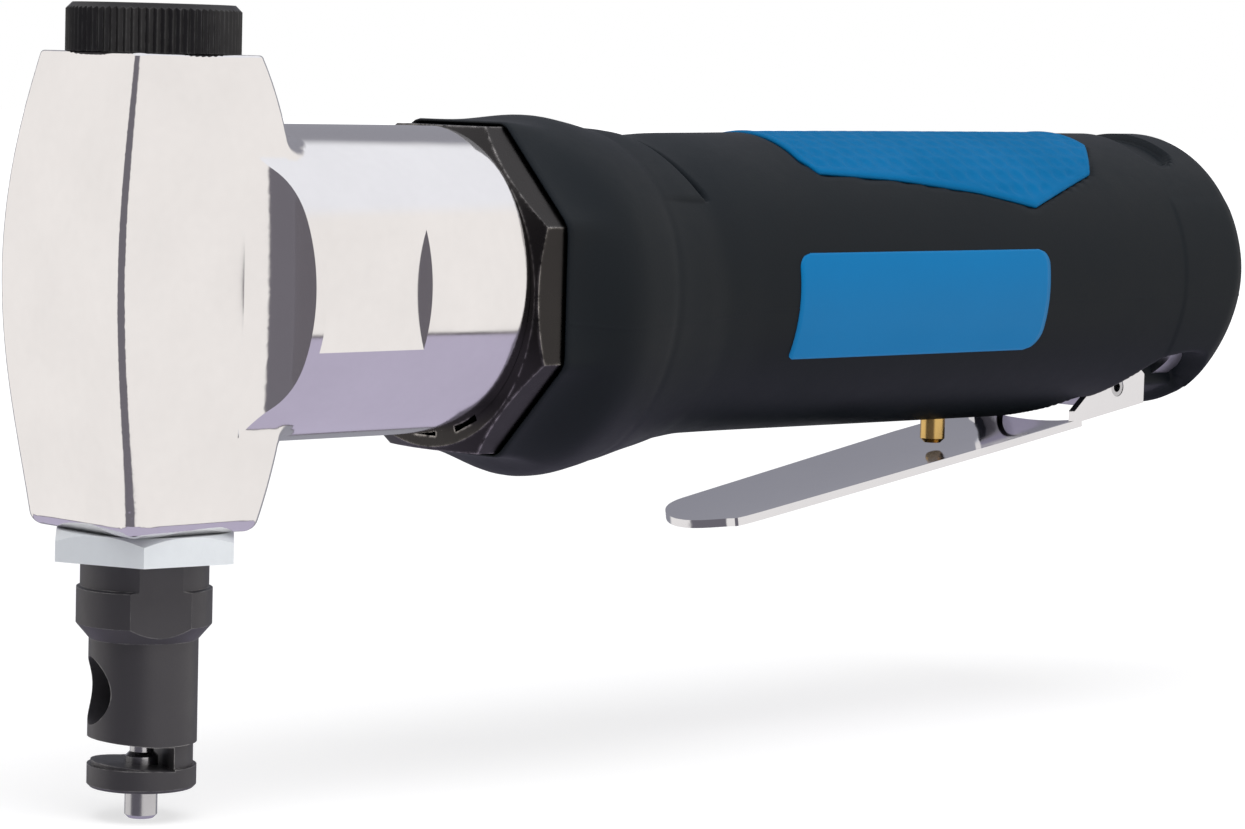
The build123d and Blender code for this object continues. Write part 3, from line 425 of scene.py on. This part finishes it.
def curve_through(points, value):
    """A smooth curve through (place, height) points."""
    places = [place for place, _ in points]
    if value <= places[0]:
        return points[0][1]
    if value >= places[-1]:
        return points[-1][1]
    index = bisect_right(places, value) - 1
    (x0, y0), (x1, y1) = points[index], points[index + 1]
    before = points[max(index - 1, 0)]
    after = points[min(index + 2, len(points) - 1)]
    start = (y1 - before[1]) / (x1 - before[0]) * (x1 - x0)
    finish = (after[1] - y0) / (after[0] - x0) * (x1 - x0)
    t = (value - x0) / (x1 - x0)
    return (
        (2 * t**3 - 3 * t**2 + 1) * y0 + (t**3 - 2 * t**2 + t) * start
        + (3 * t**2 - 2 * t**3) * y1 + (t**3 - t**2) * finish
    )


def line_through(points, value):
    """Straight runs through (place, height) points."""
    places = [place for place, _ in points]
    index = min(max(bisect_right(places, value) - 1, 0), len(points) - 2)
    (x0, y0), (x1, y1) = points[index], points[index + 1]
    return y0 + (y1 - y0) * (value - x0) / (x1 - x0)


def sheet_faces(rows, columns, close_rows=False, close_columns=False):
    """Quads of a grid of points stored row by row."""
    faces = []
    for row in range(rows if close_rows else rows - 1):
        for column in range(columns if close_columns else columns - 1):
            next_row, next_column = (row + 1) % rows, (column + 1) % columns
            faces.append((
                row * columns + column, row * columns + next_column,
                next_row * columns + next_column, next_row * columns + column))
    return faces


def slab_faces(rows, columns):
    """Faces of a thin slab: two grids of the same size, outer one first, joined round their border."""
    inner = rows * columns
    faces = sheet_faces(rows, columns)
    faces += [tuple(index + inner for index in reversed(face)) for face in faces]
    border = list(range(columns))
    border += [row * columns + columns - 1 for row in range(1, rows)]
    border += [(rows - 1) * columns + column for column in range(columns - 2, -1, -1)]
    border += [row * columns for row in range(rows - 2, 0, -1)]
    for index, start in enumerate(border):
        end = border[(index + 1) % len(border)]
        faces.append((start, end, end + inner, start + inner))
    return faces


def add_piece(name, points, faces, slot, body, replaces=()):
    """A smooth-shaded mesh that rides on a body, with its slot's finish."""
    mesh = bpy.data.meshes.new(name)
    shape = bmesh.new()
    corners = [shape.verts.new(point) for point in points]
    for face in faces:
        shape.faces.new([corners[index] for index in face])
    bmesh.ops.remove_doubles(shape, verts=shape.verts, dist=0.001 * MM)
    bmesh.ops.recalc_face_normals(shape, faces=shape.faces)
    for face in shape.faces:
        face.smooth = True
    shape.to_mesh(mesh)
    shape.free()
    mesh.materials.append(bpy.data.materials[FINISH_NAMES[slot]])
    piece = bpy.data.objects.new(name, mesh)
    bpy.context.scene.collection.objects.link(piece)
    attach(piece, body)
    if replaces:
        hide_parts(*replaces)
    return piece


# ---------------------------------------------------------------- grip

# The grip's radius and the drop of its centre along the handle
GRIP_RADII = [(55, 25.2), (60, 26.0), (64, 26.4), (68, 26.5), (72, 25.9), (76, 25.1), (80, 24.3), (84, 23.65),
              (88, 23.1), (92, 22.95), (97.3, 22.8), (120, 22.95), (150, 23.1), (210, 23.3)]
GRIP_DROPS = [(55, 2.1), (60, 2.45), (66, 2.7), (74, 2.73), (78, 2.75), (82, 2.6), (86, 2.4), (90, 1.9),
              (95, 1.5), (100, 1.4), (120, 1.3), (210, 1.3)]
COLLAR_DROP = 1.2 * MM
MOUTH_INRADIUS = 23.65 * MM
LIP_INRADIUS = 24.15 * MM
BELL_ROUND = 66 * MM
SEAT_RADIUS = 20.42 * MM
REAR_ROUNDING = 6.5 * MM
REAR_ROUNDING_LESS_ON_TOP = 2.2 * MM
REAR_FACE_INNER = 14 * MM
REAR_HOLE = 10.2 * MM
REAR_SPACE = 16 * MM
GROOVE_X = 84.2 * MM
GROOVE_BOW = 0.00125 * MM
PANEL_FRONT = 76 * MM
PANEL_HALF_ANGLE = 52.5
PARTING_ANGLE = 97.0
CREASE_DEPTH = 0.12 * MM
STEP_X = 193 * MM
STEP_HEIGHT = 0.12 * MM
# Upper edge of the scoop on each side, round the lever's ear: (X, Z)
SCOOP_EDGE = [(172.5, 36.0), (175.5, 43.8), (184.5, 48.6), (191, 53.2), (194, 54.6), (203, 54.6),
              (206.5, 50.0)]
SCOOP_FRONT, SCOOP_BACK = 173.0 * MM, 206.6 * MM
EAR_FLOOR = 10.1 * MM
HOLLOW_FRONT = 166 * MM
# Underside of the handle above the lever: (X, Z)
HOLLOW_CEILING = [(165, 42.7), (176, 46.0), (181.5, 49.0), (185.5, 56.5), (200, 56.5)]
HOLLOW_HALF_WIDTH = 12.2 * MM
# Recess on top of the rear end: its middle, the degrees that it runs to each side before its round
# ends, and half its width at the floor and at the rim
RECESS_X = 197.3 * MM
RECESS_HALF_ANGLE = 27.0
RECESS_FLOOR, RECESS_RIM = 3.5 * MM, 4.1 * MM
# The inlay's outline: (X, half its width round the grip)
INLAY_OUTLINE = [(112.4, 13.2), (114.2, 16.7), (131, 18.4), (147.5, 21.1), (159.3, 23.9), (176.6, 17.5),
                 (183.2, 9.3)]
INLAY_GAP = 0.12 * MM
INLAY_DEPTH = 0.45 * MM
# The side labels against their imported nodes
LABEL_DROP = 1.1 * MM
LABEL_FRONT_INSET = 1.4 * MM
LABEL_REAR_INSET = 1.2 * MM
LABEL_DEPTH = 0.3 * MM


def grip_radius(x):
    return curve_through(GRIP_RADII, x / MM) * MM


def grip_centre(x):
    return AXIS_Z - curve_through(GRIP_DROPS, x / MM) * MM


def on_grip(x, angle, lift=0.0):
    """The point on the plain grip at x, at an angle in radians from the top towards the near side."""
    radius = grip_radius(x) + lift
    return Vector((x, -radius * sin(angle), grip_centre(x) + radius * cos(angle)))


def inlay_half_width(x):
    """Half the inlay's width round the grip, or nothing outside it."""
    if not INLAY_OUTLINE[0][0] <= x / MM <= INLAY_OUTLINE[-1][0]:
        return 0.0
    return line_through(INLAY_OUTLINE, x / MM) * MM


def eight_sided(angle, inradius, shift=0.0):
    """Radius of an eight-sided outline with a flat on top, about a centre shifted down from its own."""
    radius = 2 * inradius
    for side in range(8):
        facing = side * pi / 4
        reach = cos(angle - facing)
        if reach > 0.5:
            radius = soft_less(radius, (inradius + shift * cos(facing)) / reach, 0.8 * MM)
    return radius


def grip_surface(x, angle, settings):
    """Radius of the moulded grip about its own centre, with all that is moulded into it."""
    turn = degrees(angle)
    from_top = min(turn, 360 - turn)
    radius = grip_radius(x)
    # The lip has the collar's eight sides and the bell grows round behind it
    round_share = smooth_step(SLEEVE_FRONT, BELL_ROUND, x)
    if round_share < 1:
        lip = eight_sided(angle, LIP_INRADIUS, AXIS_Z - grip_centre(x) - COLLAR_DROP)
        radius = lip + (radius - lip) * round_share
    # Raised front panel, with the groove behind it
    across_panel = 1 - smooth_step(PANEL_HALF_ANGLE - 0.6, PANEL_HALF_ANGLE + 0.6, from_top)
    groove_x = GROOVE_X + GROOVE_BOW * from_top**2
    rise = smooth_step(PANEL_FRONT, groove_x - 3 * MM, x)
    rise *= 1 - smooth_step(groove_x - 0.9 * MM, groove_x, x)
    radius += settings.bell_lift * rise * across_panel
    groove = exp(-(((x - groove_x) / (0.55 * MM)) ** 2))
    groove *= 1 - smooth_step(PANEL_HALF_ANGLE - 3, PANEL_HALF_ANGLE + 1, from_top)
    radius -= settings.groove_depth * groove
    # Where the bell meets the handle
    radius -= CREASE_DEPTH * exp(-(((x - bell_crease(from_top)) / (0.9 * MM)) ** 2))
    # Parting line on each side
    radius += settings.mould_line * exp(-(((from_top - PARTING_ANGLE) / 0.45) ** 2))
    # The rear end is a hair thicker
    radius += STEP_HEIGHT * smooth_step(STEP_X - 0.5 * MM, STEP_X + 0.5 * MM, x) * band(from_top, 60, 150, 6)
    # Pill-shaped recess on top of the rear end
    reach = radians(max(from_top - RECESS_HALF_ANGLE, 0)) * radius
    pill = hypot(reach, x - RECESS_X)
    radius -= settings.recess_depth * (1 - smooth_step(RECESS_FLOOR, RECESS_RIM, pill))
    # Seat of the inlay
    half_width = inlay_half_width(x)
    if half_width > 0:
        inlay_edge = half_width - radians(from_top) * radius
        radius -= 0.5 * MM * smooth_step(-0.25 * MM, 0.15 * MM, inlay_edge)
    # Rounded rear end
    rounding = REAR_ROUNDING - REAR_ROUNDING_LESS_ON_TOP * (1 - smooth_step(80, 130, from_top))
    past = x - (SLEEVE_BACK - rounding)
    if past > 0:
        radius -= rounding - sqrt(max(rounding**2 - past**2, 0.0))
    # Hollow for the lever and the scoop beside each of its ears
    if from_top > 90 and x > SCOOP_FRONT - 8 * MM:
        side, down = sin(radians(from_top)), -cos(radians(from_top))
        drop = grip_centre(x)
        if side * radius < HOLLOW_HALF_WIDTH + MM:
            wall = smooth_step(HOLLOW_HALF_WIDTH - 0.5 * MM, HOLLOW_HALF_WIDTH + 0.5 * MM, side * radius)
            ends = smooth_step(HOLLOW_FRONT, HOLLOW_FRONT + 0.8 * MM, x)
            ends *= 1 - smooth_step(SCOOP_BACK - 0.6 * MM, SCOOP_BACK + 0.6 * MM, x)
            floor = max((drop - line_through(HOLLOW_CEILING, x / MM) * MM) / down, SEAT_RADIUS + 0.4 * MM)
            radius -= max(radius - floor, 0.0) * (1 - wall) * ends
        if SCOOP_FRONT < x < SCOOP_BACK:
            edge_z = curve_through(SCOOP_EDGE, x / MM) * MM
            pocket = max(EAR_FLOOR / max(side, 0.02), (drop - edge_z) / max(down, 0.02))
            radius = soft_less(radius, max(pocket, 12 * MM), 0.9 * MM)
    return radius


def bell_crease(from_top):
    """Where the bell's rear edge runs: further forward at the bottom than on top."""
    return (77.5 - 2.5 * smooth_step(20, 150, from_top)) * MM


def ring(x, radius_at, angles, centre):
    return [(x, -radius_at(a) * sin(a), centre + radius_at(a) * cos(a)) for a in angles]


class NIBBLER_OT_add_grip(bpy.types.Operator):
    """Moulds the grip with its bell, front panel, parting line, lever hollow and rear recess"""

    bl_idname = "nibbler.add_grip"
    bl_label = "Grip"

    def execute(self, context):
        settings = context.scene.nibbler_grip
        # Degrees from the top and millimetres along the handle, closer together where detail is finer
        half = spaced(0, (52, 2), (58, 0.6), (94, 2.4), (100, 0.5), (116, 2), (180, 1.1))
        angles = [radians(a) for a in half] + [radians(360 - a) for a in reversed(half[1:-1])]
        outer = spaced(55.5, (62, 0.65), (74, 1.0), (80, 0.5), (83, 0.6), (88.8, 0.18), (113, 1.5),
                       (129, 0.5), (164, 1.6), (174, 0.45), (191, 0.7), (201, 0.3), (209.9, 0.4))
        rings = []
        # Mouth: up the inside, round the lip
        collar_centre = AXIS_Z - COLLAR_DROP
        lip_reach = LIP_INRADIUS - MOUTH_INRADIUS
        for place, outward in ((HOUSING_FRONT, 0.0), (SLEEVE_FRONT + 0.25 * MM, 0.0), (SLEEVE_FRONT, 0.3),
                               (SLEEVE_FRONT, 0.7)):
            rings.append(ring(
                place, lambda a: eight_sided(a, MOUTH_INRADIUS + outward * lip_reach), angles, collar_centre))
        for x in outer:
            place = x * MM
            rings.append(ring(place, lambda a: grip_surface(place, a, settings), angles, grip_centre(place)))
        # Flat rear face, its hole, the space behind the housing, and the bore that the housing fills
        rear_centre = grip_centre(SLEEVE_BACK)
        rings.append(ring(
            SLEEVE_BACK, lambda a: grip_surface(outer[-1] * MM, a, settings) - 0.4 * MM, angles, rear_centre))
        rings.append(ring(SLEEVE_BACK, lambda a: REAR_FACE_INNER, angles, rear_centre))
        rings.append(ring(SLEEVE_BACK, lambda a: REAR_HOLE + 0.4 * MM, angles, AXIS_Z))
        rings.append(ring(SLEEVE_BACK - 0.4 * MM, lambda a: REAR_HOLE, angles, AXIS_Z))
        rings.append(ring(HOUSING_BACK + 0.1 * MM, lambda a: REAR_HOLE, angles, AXIS_Z))
        rings.append(ring(HOUSING_BACK + 0.1 * MM, lambda a: REAR_SPACE, angles, AXIS_Z))
        rings.append(ring(SCOOP_FRONT - MM, lambda a: REAR_SPACE, angles, AXIS_Z))
        rings.append(ring(SCOOP_FRONT - 2 * MM, lambda a: SEAT_RADIUS, angles, AXIS_Z))
        rings.append(ring(HOUSING_FRONT, lambda a: SEAT_RADIUS, angles, AXIS_Z))
        points = [point for each in rings for point in each]
        faces = sheet_faces(len(rings), len(angles), close_rows=True, close_columns=True)
        add_piece("moulded_grip", points, faces, "grip_rubber", "tool_body", ["grip_sleeve"])
        return {"FINISHED"}


class NIBBLER_OT_add_inlay(bpy.types.Operator):
    """Sets the dimpled soft inlay into the top of the grip"""

    bl_idname = "nibbler.add_inlay"
    bl_label = "Inlay"

    RIM = 1.5 * MM
    FIELD_SINK = 0.10 * MM
    DIMPLE_DEPTH = 0.28 * MM

    def lift(self, settings, x, round_grip, inside):
        """Height above the grip: a smooth rim, then a slightly sunk field of shallow dimples."""
        pitch = settings.dimple_pitch
        row = round_grip / (pitch * 0.866)
        shift = 0.5 * (round(row) % 2)
        along = (x / pitch + shift) % 1 - 0.5
        over = row - round(row)
        dimple = 1 - smooth_step(0.18, 0.46, hypot(along, over * 0.866))
        field = smooth_step(self.RIM - 0.3 * MM, self.RIM + 0.3 * MM, inside)
        edge = smooth_step(0.0, 0.5 * MM, inside)
        return settings.inlay_lift * edge - (self.FIELD_SINK + self.DIMPLE_DEPTH * dimple) * field

    def execute(self, context):
        settings = context.scene.nibbler_grip
        front = INLAY_OUTLINE[0][0] * MM + 0.1 * MM
        back = INLAY_OUTLINE[-1][0] * MM - 0.1 * MM
        stations = [front + (back - front) * step / 180 for step in range(181)]
        across = [step / 44 - 1 for step in range(89)]
        points = []
        for x in stations:
            half = inlay_half_width(x) - INLAY_GAP
            radius = grip_radius(x)
            for share in across:
                round_grip = half * share
                inside = min(half - abs(round_grip), x - front, back - x)
                points.append(on_grip(x, round_grip / radius, self.lift(settings, x, round_grip, inside)))
        for x in stations:
            half = inlay_half_width(x) - INLAY_GAP
            points += [on_grip(x, half * share / grip_radius(x), -INLAY_DEPTH) for share in across]
        faces = slab_faces(len(stations), len(across))
        add_piece("grip_inlay_pad", points, faces, "inlay_rubber", "tool_body", ["grip_inlay"])
        return {"FINISHED"}


class NIBBLER_OT_add_labels(bpy.types.Operator):
    """Sticks a plain label on each side of the grip"""

    bl_idname = "nibbler.add_labels"
    bl_label = "Side Labels"

    def execute(self, context):
        settings = context.scene.nibbler_grip
        low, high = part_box("side_labels")
        middle = (low.z + high.z) / 2 - LABEL_DROP
        half_height = (high.z - low.z) / 2
        # Corner radii at the front and the rear
        upper_corners = (2.4 * MM, 2.4 * MM)
        lower_corners = (0.9 * MM, 3.4 * MM)
        rows, columns = 41, 61
        for side, name in ((1, "label_near"), (-1, "label_far")):
            points = []
            for lift in (settings.label_thickness, -LABEL_DEPTH):
                for row in range(rows):
                    height = half_height * (2 * row / (rows - 1) - 1)
                    ends = []
                    for radius in upper_corners if height > 0 else lower_corners:
                        into = abs(height) - (half_height - radius)
                        ends.append(radius - sqrt(max(radius**2 - max(into, 0.0) ** 2, 0.0)))
                    start = low.x + LABEL_FRONT_INSET + ends[0]
                    finish = high.x - LABEL_REAR_INSET - ends[1]
                    for column in range(columns):
                        x = start + (finish - start) * column / (columns - 1)
                        radius = grip_radius(x) + lift
                        angle = pi / 2 - asin((middle + height - grip_centre(x)) / radius)
                        points.append(on_grip(x, side * angle, lift))
            add_piece(name, points, slab_faces(rows, columns), "label_film", "tool_body", ["side_labels"])
        return {"FINISHED"}


# ---------------------------------------------------------------- metal parts


class NIBBLER_OT_finish_parts(bpy.types.Operator):
    """Makes the finishes and gives each machined part the one that its record names"""

    bl_idname = "nibbler.finish_parts"
    bl_label = "Metal Finishes"

    def execute(self, context):
        for build in (build_edge_wear, build_handling, build_grain, build_tool_marks):
            build()
        finishes = make_finishes(context.scene.nibbler_colours)
        for slot, material in finishes.items():
            FINISH_NAMES[slot] = material.name
        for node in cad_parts.values():
            for slot in node.material_slots:
                if slot.material.name not in finishes:
                    raise RuntimeError(f"{node.name} has no finish for {slot.material.name}")
                slot.material = finishes[slot.material.name]
        return {"FINISHED"}


# ---------------------------------------------------------------- studio

# How far the dark gap is turned from the camera
GAP_TURN = radians(28)


def camera_axes(settings):
    """The camera's right, up and forward directions."""
    heading, pitch, roll = settings.heading, settings.pitch, settings.roll
    forward = Vector((sin(heading) * cos(pitch), cos(heading) * cos(pitch), -sin(pitch)))
    level = Vector((cos(heading), -sin(heading), 0))
    upright = level.cross(forward)
    right = level * cos(roll) + upright * sin(roll)
    up = upright * cos(roll) - level * sin(roll)
    return right, up, forward


def build_world(settings):
    """The studio that the metal reflects: bright sides and ceiling, a dark gap left of the camera, a
    grey-blue far wall and a lilac table. The camera itself sees plain white."""
    world = bpy.data.worlds.new("Studio")
    bpy.context.scene.world = world
    world.use_nodes = True
    graph = Graph(world.node_tree)
    direction = graph.add("ShaderNodeTexCoord").outputs["Generated"]
    heading = settings.heading
    toward_camera = graph.vector("DOT_PRODUCT", direction, (-sin(heading), -cos(heading), 0.0))
    height = graph.add("ShaderNodeSeparateXYZ", {0: direction}).outputs["Z"]
    # Bright sides, with the dark gap in them
    beside = heading + GAP_TURN
    toward_gap = graph.vector("DOT_PRODUCT", direction, (-sin(beside), -cos(beside), 0.0))
    gap = graph.remap(toward_gap, 0.70, 0.80, smooth=True)
    sides = graph.mix(gap, (0.95, 0.92, 0.90, 1), (0.17, 0.16, 0.185, 1))
    # The far side is a grey-blue wall up to the ceiling panel
    far = graph.remap(toward_camera, -0.80, -0.62, 1.0, 0.0, smooth=True)
    walls = graph.mix(far, sides, (0.30, 0.30, 0.34, 1))
    ceiling = graph.remap(height, 0.58, 0.68, smooth=True)
    upper = graph.mix(ceiling, walls, (0.92, 0.93, 0.98, 1))
    table = graph.remap(height, -0.46, -0.45)
    edge = graph.math("MULTIPLY", graph.remap(height, -0.475, -0.465), graph.remap(height, -0.44, -0.45))
    room = graph.mix(table, (0.50, 0.46, 0.60, 1), upper)
    room = graph.mix(edge, room, (0.10, 0.09, 0.10, 1))
    soft_ray = graph.add("ShaderNodeLightPath").outputs["Is Diffuse Ray"]
    strength = graph.remap(soft_ray, 0.0, 1.0, 1.0, 0.5)
    lit = graph.add("ShaderNodeBackground", {"Color": room, "Strength": strength})
    plain = graph.add("ShaderNodeBackground", {"Color": (1, 1, 1, 1), "Strength": 1.0})
    seen = graph.add("ShaderNodeLightPath").outputs["Is Camera Ray"]
    both = graph.add("ShaderNodeMixShader", {0: seen, 1: lit.outputs[0], 2: plain.outputs[0]})
    graph.add("ShaderNodeOutputWorld", {"Surface": both.outputs[0]})


def build_floor(settings):
    """A pale round floor under the tool that glows: painted light, greyer near the tool and white further
    out, which lightens the tool's shadow; polished parts reflect the studio and not the floor.
    """
    shape = bmesh.new()
    bmesh.ops.create_circle(shape, cap_ends=True, segments=96, radius=settings.floor_radius)
    mesh = bpy.data.meshes.new("floor")
    shape.to_mesh(mesh)
    shape.free()
    floor = bpy.data.objects.new("floor", mesh)
    floor.location = (0.1, 0.0, CAD_BOX[0].z - 0.02 * MM)
    floor.visible_glossy = False
    bpy.context.scene.collection.objects.link(floor)
    material, graph, shader = new_material("Pale glowing floor")
    place = graph.add("ShaderNodeTexCoord").outputs["Object"]
    shader.inputs["Base Color"].default_value = (0.45, 0.45, 0.45, 1)
    shader.inputs["Roughness"].default_value = 0.9
    shader.inputs["Specular IOR Level"].default_value = 0.0
    # Painted light: the floor glows, grey near the tool and pure white further out, so its shadow stays faint
    # and it fades into the white backdrop.
    shader.inputs["Emission Strength"].default_value = 1.0
    glow_with_distance = graph.remap(graph.vector("LENGTH", place), 0.1, 1.2, smooth=True)
    graph.tree.links.new(
        graph.mix(glow_with_distance, (0.66, 0.66, 0.66, 1), (1, 1, 1, 1)), shader.inputs["Emission Color"])
    mesh.materials.append(material)


def add_light(name, place, target, size, power):
    light = bpy.data.lights.new(name, "AREA")
    light.shape = "RECTANGLE"
    light.size, light.size_y = size
    light.energy = power
    lamp = bpy.data.objects.new(name, light)
    lamp.location = place
    lamp.rotation_mode = "QUATERNION"
    lamp.rotation_quaternion = (target - Vector(place)).to_track_quat("-Z", "Y")
    lamp.visible_glossy = False
    bpy.context.scene.collection.objects.link(lamp)
    return lamp


class NIBBLER_OT_set_stage(bpy.types.Operator):
    """Sets the pale floor, the soft light and the camera"""

    bl_idname = "nibbler.set_stage"
    bl_label = "Studio"

    def execute(self, context):
        settings = context.scene.nibbler_studio
        build_world(settings)
        build_floor(settings)
        right, up, forward = camera_axes(settings)
        middle = (CAD_BOX[0] + CAD_BOX[1]) / 2
        add_light("key_light", middle + Vector((-0.15, -0.25, 0.75)), middle, (0.9, 0.6), settings.key_power)
        add_light("side_light", middle + right * 0.5 - forward * 0.55 + up * 0.2, middle, (0.5, 0.4),
                  settings.fill_power)
        camera = bpy.data.cameras.new("camera")
        camera.lens = settings.lens
        camera.clip_start, camera.clip_end = 0.01, 50.0
        viewer = bpy.data.objects.new("camera", camera)
        viewer.matrix_world = Matrix.Translation(settings.position) @ Matrix(
            (right, up, -forward)).transposed().to_4x4()
        context.scene.collection.objects.link(viewer)
        context.scene.camera = viewer
        context.scene.view_settings.view_transform = "Standard"
        return {"FINISHED"}


class NIBBLER_PT_parts(bpy.types.Panel):
    """The nibbler's pieces, in the order that they are made"""

    bl_idname = "NIBBLER_PT_parts"
    bl_label = "Air Nibbler"
    bl_space_type = "VIEW_3D"
    bl_region_type = "UI"
    bl_category = "Nibbler"

    def draw(self, context):
        for step in STEPS:
            self.layout.operator(step.bl_idname)
        for group_name in GROUPS:
            group = getattr(context.scene, group_name)
            box = self.layout.box()
            for name in group.__annotations__:
                box.prop(group, name)


STEPS = (
    NIBBLER_OT_finish_parts,
    NIBBLER_OT_add_grip,
    NIBBLER_OT_add_inlay,
    NIBBLER_OT_add_labels,
    NIBBLER_OT_set_stage,
)
GROUPS = {
    "nibbler_grip": NibblerGripSettings,
    "nibbler_colours": NibblerColourSettings,
    "nibbler_studio": NibblerStudioSettings,
}


def register():
    for item in (*GROUPS.values(), *STEPS, NIBBLER_PT_parts):
        bpy.utils.register_class(item)
    for name, group in GROUPS.items():
        setattr(bpy.types.Scene, name, bpy.props.PointerProperty(type=group))


def unregister():
    for name in GROUPS:
        delattr(bpy.types.Scene, name)
    for item in reversed((*GROUPS.values(), *STEPS, NIBBLER_PT_parts)):
        bpy.utils.unregister_class(item)


def main():
    register()
    for step in STEPS:
        area, name = step.bl_idname.split(".")
        getattr(getattr(bpy.ops, area), name)()


if __name__ == "__main__":
    main()
